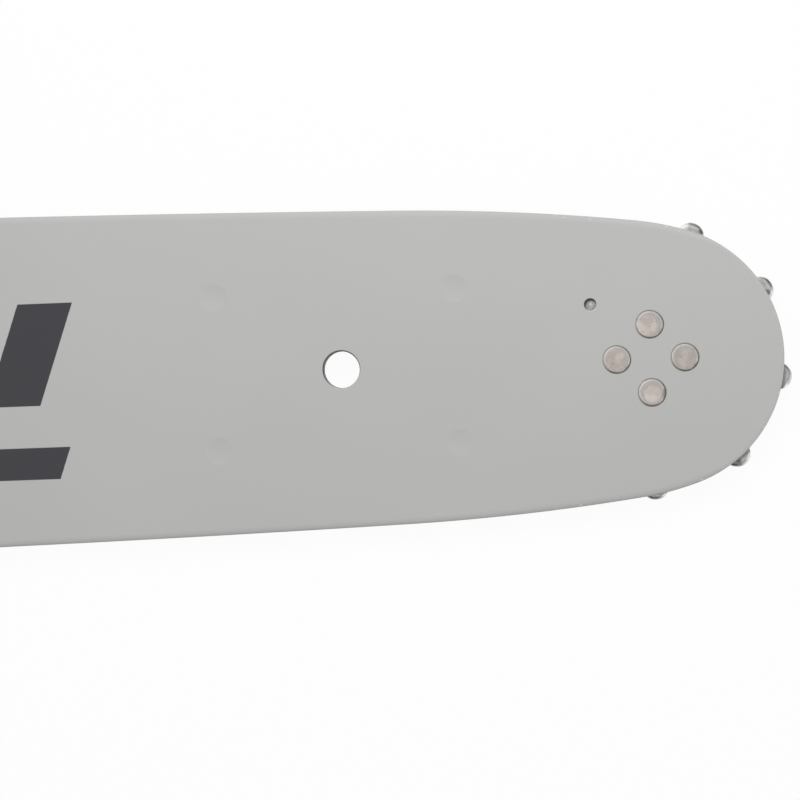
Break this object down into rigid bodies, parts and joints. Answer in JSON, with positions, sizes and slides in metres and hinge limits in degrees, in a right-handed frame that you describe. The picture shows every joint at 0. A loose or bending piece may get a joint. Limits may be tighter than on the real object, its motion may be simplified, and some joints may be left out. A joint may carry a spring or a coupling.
{
  "type": "chainsaw guide bar",
  "caption": "Flat laminated chainsaw guide bar with a chain groove round its edge and a toothed wheel on needle rollers in its rounded nose.",
  "frame": {"origin": "middle of the stud slot, on the lower face", "axes": "+X along the bar's axis to the nose, +Z out of the upper face"},
  "size_m": [0.4089, 0.058, 0.0041],
  "materials": {
    "plate_paint": "light grey satin paint on both faces",
    "core_steel": "bare rolled steel",
    "sprocket_steel": "bare bright steel with rounded rims",
    "rivet_steel": "bare steel with a warm tint, ground flush",
    "bearing_steel": "ground bearing steel, greased"
  },
  "bodies": {
    "bar": {"side_plate_upper": "plate_paint", "side_plate_lower": "plate_paint", "core_plate": "core_steel", "bearing_race": "bearing_steel", "rivet_1": "rivet_steel", "rivet_2": "rivet_steel", "rivet_3": "rivet_steel", "rivet_4": "rivet_steel"},
    "sprocket": {"nose_sprocket": "sprocket_steel"},
    "rollers": {"roller_01": "bearing_steel", "roller_02": "bearing_steel", "roller_03": "bearing_steel", "roller_04": "bearing_steel", "roller_05": "bearing_steel", "roller_06": "bearing_steel", "roller_07": "bearing_steel", "roller_08": "bearing_steel", "roller_09": "bearing_steel", "roller_10": "bearing_steel", "roller_11": "bearing_steel", "roller_12": "bearing_steel", "roller_13": "bearing_steel", "roller_14": "bearing_steel", "roller_15": "bearing_steel", "roller_16": "bearing_steel", "roller_17": "bearing_steel", "roller_18": "bearing_steel", "roller_19": "bearing_steel", "roller_20": "bearing_steel", "roller_21": "bearing_steel"}
  },
  "joints": [
    {"name": "sprocket_spin", "type": "hinge", "parent": "bar", "child": "sprocket", "pos_m": [0.33, 0, 0.00205], "axis": [0, 0, 1], "continuous": true},
    {"name": "roller_orbit", "type": "hinge", "parent": "bar", "child": "rollers", "pos_m": [0.33, 0, 0.00205], "axis": [0, 0, 1], "continuous": true}
  ],
  "couplings": [
    {"joint": "roller_orbit", "follows": "sprocket_spin", "ratio": 0.57265}
  ]
}
